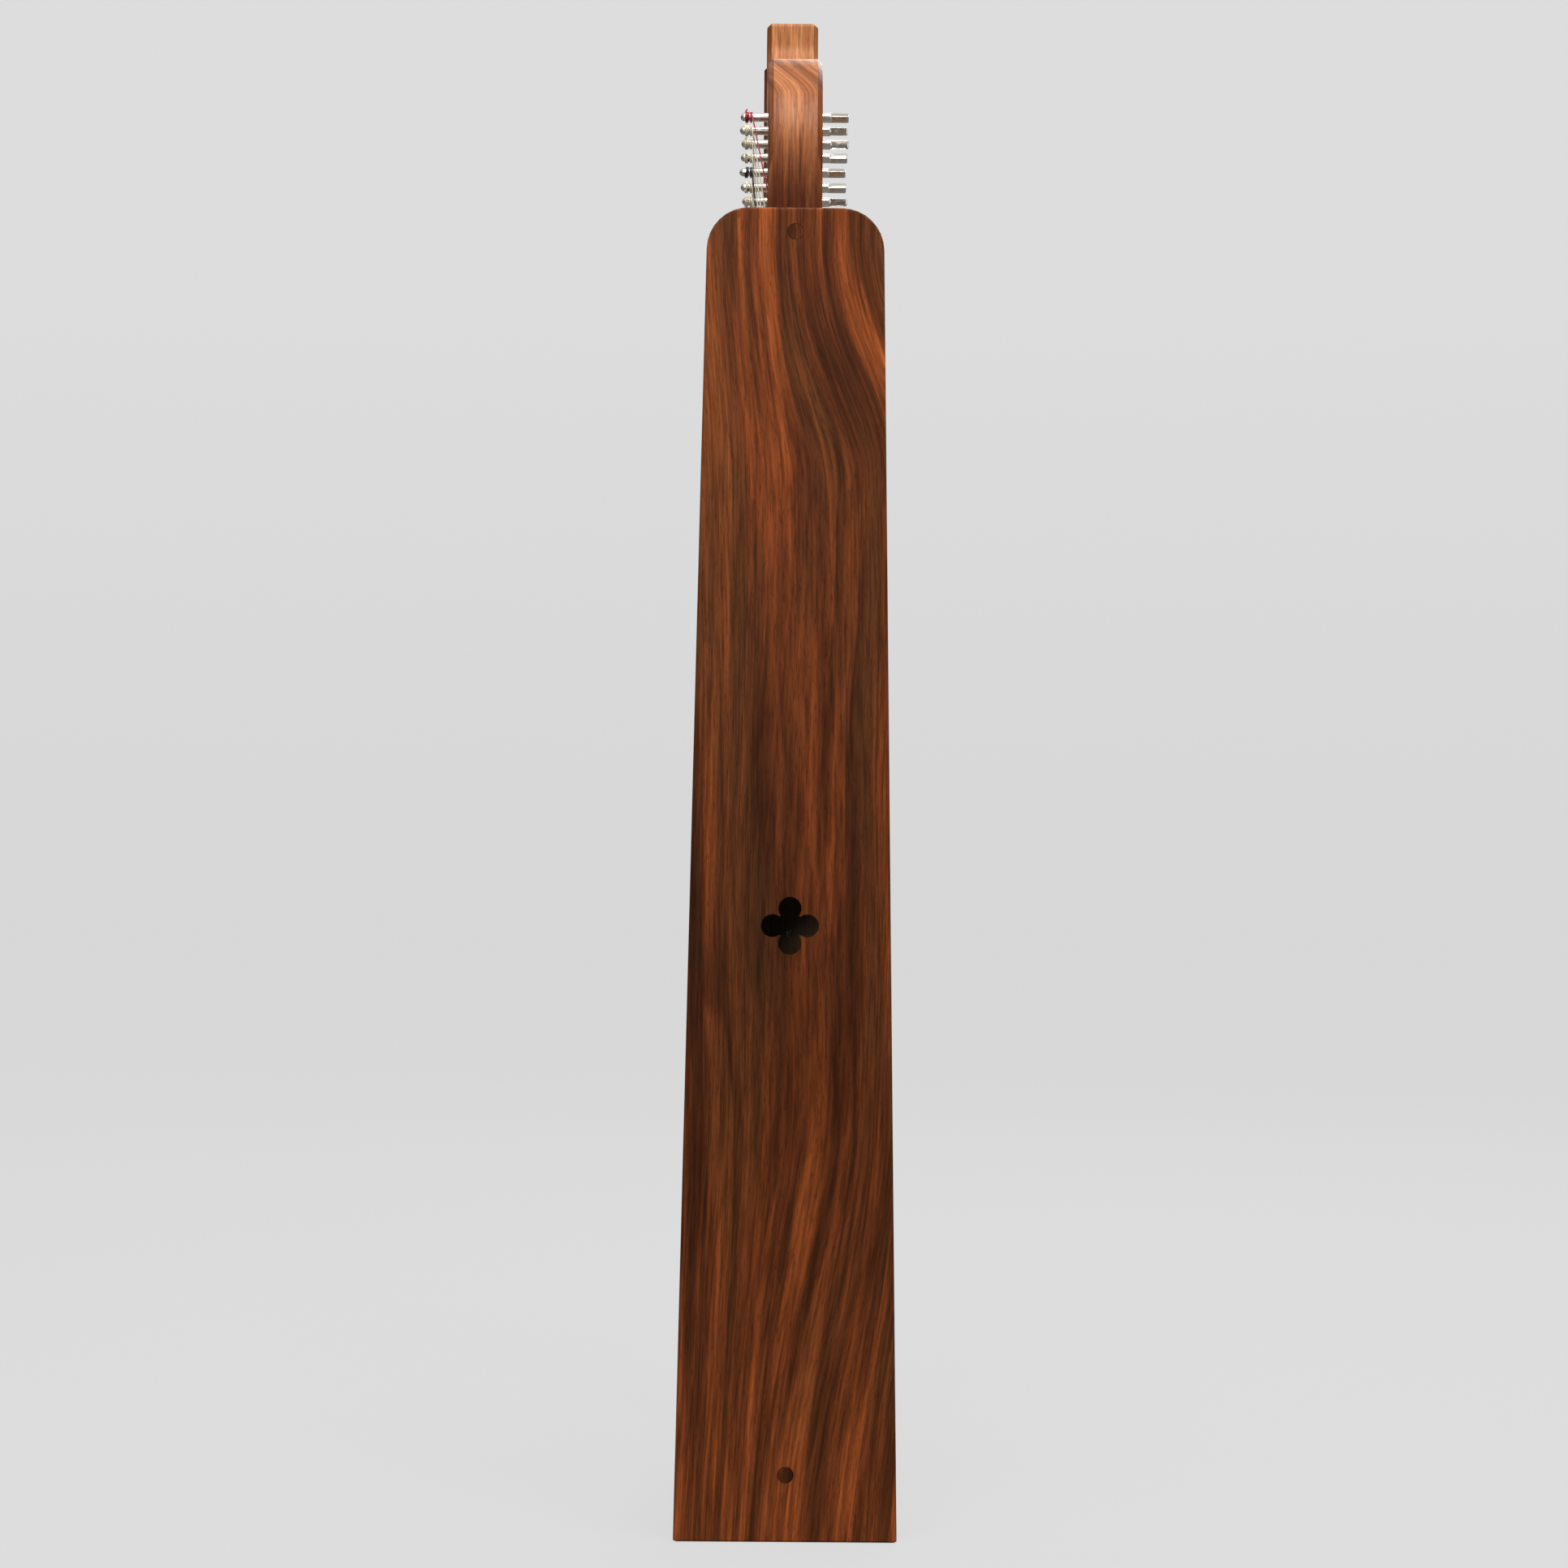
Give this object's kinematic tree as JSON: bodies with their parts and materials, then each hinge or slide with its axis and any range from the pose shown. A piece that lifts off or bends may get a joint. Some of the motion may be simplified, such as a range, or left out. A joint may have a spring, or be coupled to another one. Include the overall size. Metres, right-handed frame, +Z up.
{
  "type": "lap harp",
  "caption": "Small Celtic-style lap harp: tapered wooden soundbox with a quatrefoil sound hole, curved neck, bowed pillar, nylon strings and turning tuning pins.",
  "frame": {"origin": "middle of the soundbox's underside, which is the face it stands on", "axes": "+Z up along the soundbox, +Y from the back panel towards the strings and pillar, +X to the right seen from behind, where the pins' square ends are"},
  "size_m": [0.127, 0.428, 0.9407],
  "materials": {
    "rosewood": "satin",
    "plug_wood": "satin",
    "soundboard_wood": "satin",
    "block_wood": "matte",
    "nickel": "polished",
    "screw_steel": "satin",
    "red_nylon": "gloss",
    "black_nylon": "gloss",
    "clear_nylon": "gloss"
  },
  "bodies": {
    "frame": {"back_panel": "rosewood", "left_side": "rosewood", "right_side": "rosewood", "neck": "rosewood", "pillar": "rosewood", "base_foot": "rosewood", "string_rib": "rosewood", "upper_plug": "plug_wood", "lower_plug": "plug_wood", "soundboard": "soundboard_wood", "top_block": "rosewood", "bottom_block": "block_wood", "inner_string_rib": "block_wood", "upper_brace": "block_wood", "lower_brace": "block_wood", "neck_dowel_rear": "block_wood", "neck_dowel_front": "block_wood", "head_dowel": "block_wood", "foot_dowel": "block_wood", "upper_screw": "screw_steel", "lower_screw": "screw_steel", "pillar_screw": "screw_steel", "string_c6": "red_nylon", "string_b5": "clear_nylon", "string_a5": "clear_nylon", "string_g5": "clear_nylon", "string_f5": "black_nylon", "string_e5": "clear_nylon", "string_d5": "clear_nylon", "string_c5": "red_nylon", "string_b4": "clear_nylon", "string_a4": "clear_nylon", "string_g4": "clear_nylon", "string_f4": "black_nylon", "string_e4": "clear_nylon", "string_d4": "clear_nylon", "string_c4": "red_nylon", "string_b3": "clear_nylon", "string_a3": "clear_nylon", "string_g3": "clear_nylon", "string_f3": "black_nylon"},
    "pin_c6": {"tuning_pin_c6": "nickel"},
    "pin_b5": {"tuning_pin_b5": "nickel"},
    "pin_a5": {"tuning_pin_a5": "nickel"},
    "pin_g5": {"tuning_pin_g5": "nickel"},
    "pin_f5": {"tuning_pin_f5": "nickel"},
    "pin_e5": {"tuning_pin_e5": "nickel"},
    "pin_d5": {"tuning_pin_d5": "nickel"},
    "pin_c5": {"tuning_pin_c5": "nickel"},
    "pin_b4": {"tuning_pin_b4": "nickel"},
    "pin_a4": {"tuning_pin_a4": "nickel"},
    "pin_g4": {"tuning_pin_g4": "nickel"},
    "pin_f4": {"tuning_pin_f4": "nickel"},
    "pin_e4": {"tuning_pin_e4": "nickel"},
    "pin_d4": {"tuning_pin_d4": "nickel"},
    "pin_c4": {"tuning_pin_c4": "nickel"},
    "pin_b3": {"tuning_pin_b3": "nickel"},
    "pin_a3": {"tuning_pin_a3": "nickel"},
    "pin_g3": {"tuning_pin_g3": "nickel"},
    "pin_f3": {"tuning_pin_f3": "nickel"}
  },
  "joints": [
    {"name": "tune_c6", "type": "hinge", "parent": "frame", "child": "pin_c6", "pos_m": [0, 0.092, 0.8322], "axis": [-1, 0, 0], "range_deg": [-1035, 60]},
    {"name": "tune_b5", "type": "hinge", "parent": "frame", "child": "pin_b5", "pos_m": [0, 0.104, 0.82617], "axis": [-1, 0, 0], "range_deg": [-1035, 60]},
    {"name": "tune_a5", "type": "hinge", "parent": "frame", "child": "pin_a5", "pos_m": [0, 0.116, 0.82015], "axis": [-1, 0, 0], "range_deg": [-1035, 60]},
    {"name": "tune_g5", "type": "hinge", "parent": "frame", "child": "pin_g5", "pos_m": [0, 0.128, 0.8138], "axis": [-1, 0, 0], "range_deg": [-1035, 60]},
    {"name": "tune_f5", "type": "hinge", "parent": "frame", "child": "pin_f5", "pos_m": [0, 0.14, 0.80676], "axis": [-1, 0, 0], "range_deg": [-1035, 60]},
    {"name": "tune_e5", "type": "hinge", "parent": "frame", "child": "pin_e5", "pos_m": [0, 0.152, 0.79939], "axis": [-1, 0, 0], "range_deg": [-1035, 60]},
    {"name": "tune_d5", "type": "hinge", "parent": "frame", "child": "pin_d5", "pos_m": [0, 0.164, 0.7925], "axis": [-1, 0, 0], "range_deg": [-1035, 60]},
    {"name": "tune_c5", "type": "hinge", "parent": "frame", "child": "pin_c5", "pos_m": [0, 0.17598, 0.78622], "axis": [-1, 0, 0], "range_deg": [-1035, 60]},
    {"name": "tune_b4", "type": "hinge", "parent": "frame", "child": "pin_b4", "pos_m": [0, 0.18796, 0.78041], "axis": [-1, 0, 0], "range_deg": [-1035, 60]},
    {"name": "tune_a4", "type": "hinge", "parent": "frame", "child": "pin_a4", "pos_m": [0, 0.2, 0.7755], "axis": [-1, 0, 0], "range_deg": [-1035, 60]},
    {"name": "tune_g4", "type": "hinge", "parent": "frame", "child": "pin_g4", "pos_m": [0, 0.21202, 0.77152], "axis": [-1, 0, 0], "range_deg": [-1035, 60]},
    {"name": "tune_f4", "type": "hinge", "parent": "frame", "child": "pin_f4", "pos_m": [0, 0.22409, 0.76843], "axis": [-1, 0, 0], "range_deg": [-1035, 60]},
    {"name": "tune_e4", "type": "hinge", "parent": "frame", "child": "pin_e4", "pos_m": [0, 0.2365, 0.7665], "axis": [-1, 0, 0], "range_deg": [-1035, 60]},
    {"name": "tune_d4", "type": "hinge", "parent": "frame", "child": "pin_d4", "pos_m": [0, 0.24928, 0.76591], "axis": [-1, 0, 0], "range_deg": [-1035, 60]},
    {"name": "tune_c4", "type": "hinge", "parent": "frame", "child": "pin_c4", "pos_m": [0, 0.26239, 0.76648], "axis": [-1, 0, 0], "range_deg": [-1035, 60]},
    {"name": "tune_b3", "type": "hinge", "parent": "frame", "child": "pin_b3", "pos_m": [0, 0.276, 0.768], "axis": [-1, 0, 0], "range_deg": [-1035, 60]},
    {"name": "tune_a3", "type": "hinge", "parent": "frame", "child": "pin_a3", "pos_m": [0, 0.29033, 0.7707], "axis": [-1, 0, 0], "range_deg": [-1035, 60]},
    {"name": "tune_g3", "type": "hinge", "parent": "frame", "child": "pin_g3", "pos_m": [0, 0.30517, 0.77435], "axis": [-1, 0, 0], "range_deg": [-1035, 60]},
    {"name": "tune_f3", "type": "hinge", "parent": "frame", "child": "pin_f3", "pos_m": [0, 0.32, 0.778], "axis": [-1, 0, 0], "range_deg": [-1035, 60]}
  ]
}
